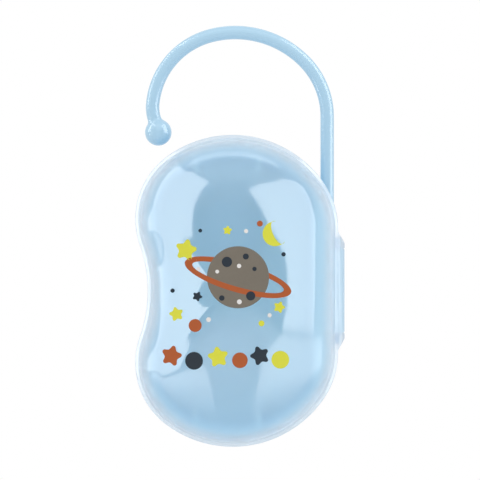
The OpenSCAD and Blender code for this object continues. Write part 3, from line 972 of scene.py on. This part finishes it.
def panel(name, rows, glow, lit=None, columns=12):
    """A curved panel of even glow round the case, or a dark card, which only reflections show.

    Each row is (elevation, azimuth from, azimuth to); lit is the one piece that it lights.
    """
    far = PANEL_FAR if glow else CARD_FAR
    steps = np.linspace(0, 1, columns + 1)
    mesh = bpy.data.meshes.new(name)
    mesh.from_pydata(
        [aside(a + (b - a) * t, elevation, far) for elevation, a, b in rows for t in steps],
        [],
        [
            (i + j, i + j + 1, i + j + columns + 2, i + j + columns + 1)
            for i in range(0, (len(rows) - 1) * (columns + 1), columns + 1)
            for j in range(columns)
        ],
    )
    thing = stand(name, mesh)
    material, wire = finish(name)
    if glow:
        cloth = wire.node("ShaderNodeEmission", sockets={"Color": (1, 1, 1, 1), "Strength": glow})
    else:
        cloth = dark_card(wire)
    wire.node("ShaderNodeOutputMaterial", sockets={"Surface": cloth})
    mesh.materials.append(material)
    thing.visible_camera = thing.visible_diffuse = thing.visible_shadow = False
    thing.visible_transmission = False
    if lit:
        light_only(thing, lit)


panel(
    "panel_right",
    [(-2.8, 14.2, 31), (-1.5, 16.2, 35), (0, 16, 38), (2.2, 12.5, 38), (4.7, 9.6, 39)]
    + [(6.9, 6.4, 39), (9.5, 4.6, 39), (12.3, 2.7, 39), (14, 5.2, 39), (15.6, 9.4, 39)]
    + [(20, 16, 43), (26, 24, 46), (32, 36, 46)],
    3.1,
    lid,
)
panel(
    "panel_left",
    [(-9, -100, -14), (-5.5, -100, -12), (-2, -100, -17), (-0.5, -100, -19), (1, -100, -17)]
    + [(4.5, -90, -10), (7.9, -80, -8.4), (11.2, -70, -6.8), (14.3, -70, -5.2)]
    + [(17, -72, -8.5), (30, -78, -21), (55, -96, -70)],
    3.2,
    lid,
)
panel("panel_low_right", [(-50, 4, 75), (-14, 4, 75), (-9, 5, 75), (-3, 15, 75)], 2.5, lid)
panel("panel_low_left", [(-50, -4, -75), (-14, -4, -75), (-10, -5, -75)], 2.5, lid)
for side, name in ((1, "side_light_right"), (-1, "side_light_left")):
    lamp(name, side * LAMP_SIDE, LAMP_RAISE, 0.8, 1.8, 6.5, hook)
lamp("top_light", 0, 60, 0.9, 0.5, 0.9)
panel("dark_card", [(-8, -22, 22), (17, -22, 22)], 0)

camera = stand("camera", bpy.data.cameras.new("camera"))
camera.location = (VIEW_X * MM, (CASE_PLACE[1] - VIEW_FAR) * MM, VIEW_Z * MM)
camera.rotation_euler = (pi / 2, 0, 0)
camera.data.sensor_width = SENSOR
camera.data.lens = SENSOR * VIEW_FAR / VIEW_W
camera.data.clip_start, camera.data.clip_end = 0.01, 20
bpy.context.scene.camera = camera

FLOOR_Z, FLOOR_R, FADE_FROM, FADE_TO = -0.235, 0.75, 0.3, 0.7
FLOOR_GLOW = 0.25  # keeps the floor as pale as the tent round it
floor_mesh = bpy.data.meshes.new("floor")
form = bmesh.new()
bmesh.ops.create_circle(form, cap_ends=True, segments=96, radius=FLOOR_R)
form.to_mesh(floor_mesh)
form.free()
floor_mesh.transform(Matrix.Translation((0, 0, FLOOR_Z)))
floor = stand("floor", floor_mesh)
pale, wire = finish("floor_pale")
place = wire.node("ShaderNodeTexCoord", out="Object")
away = wire.node("ShaderNodeVectorMath", {"operation": "LENGTH"}, {0: place}, out="Value")
edge = eased(wire, away, FADE_FROM, FADE_TO)
ray = wire.node("ShaderNodeLightPath", out="Is Camera Ray")
ground = wire.node(
    "ShaderNodeBsdfPrincipled",
    sockets={
        "Base Color": srgb(244, 245, 247),
        "Roughness": 0.8,
        "Emission Color": (1, 1, 1, 1),
        "Emission Strength": FLOOR_GLOW * ray,
    },
)
gone = wire.node("ShaderNodeBsdfTransparent")
both = wire.node("ShaderNodeMixShader", sockets={0: edge, 1: ground, 2: gone})
wire.node("ShaderNodeOutputMaterial", sockets={"Surface": both})
floor_mesh.materials.append(pale)

world = bpy.data.worlds.new("studio")
bpy.context.scene.world = world
world.use_nodes = True
world.node_tree.nodes.clear()
wire = Wire(world.node_tree)
path = wire.node("ShaderNodeLightPath", out="Is Camera Ray")
through = wire.maths("MAXIMUM", path.other("Is Glossy Ray"), path.other("Is Transmission Ray"))
seen = wire.maths("MAXIMUM", path, through)
AMBIENT = 0.9  # the light that falls on the case; what is seen of the tent is full white
sky = wire.node(
    "ShaderNodeBackground",
    sockets={"Color": (1, 1, 1, 1), "Strength": AMBIENT + (1 - AMBIENT) * seen},
)
wire.node("ShaderNodeOutputWorld", sockets={"Surface": sky})
bpy.context.scene.view_settings.view_transform = "Standard"
bpy.context.scene.cycles.use_denoising = True
bpy.context.scene.cycles.transparent_max_bounces = 24
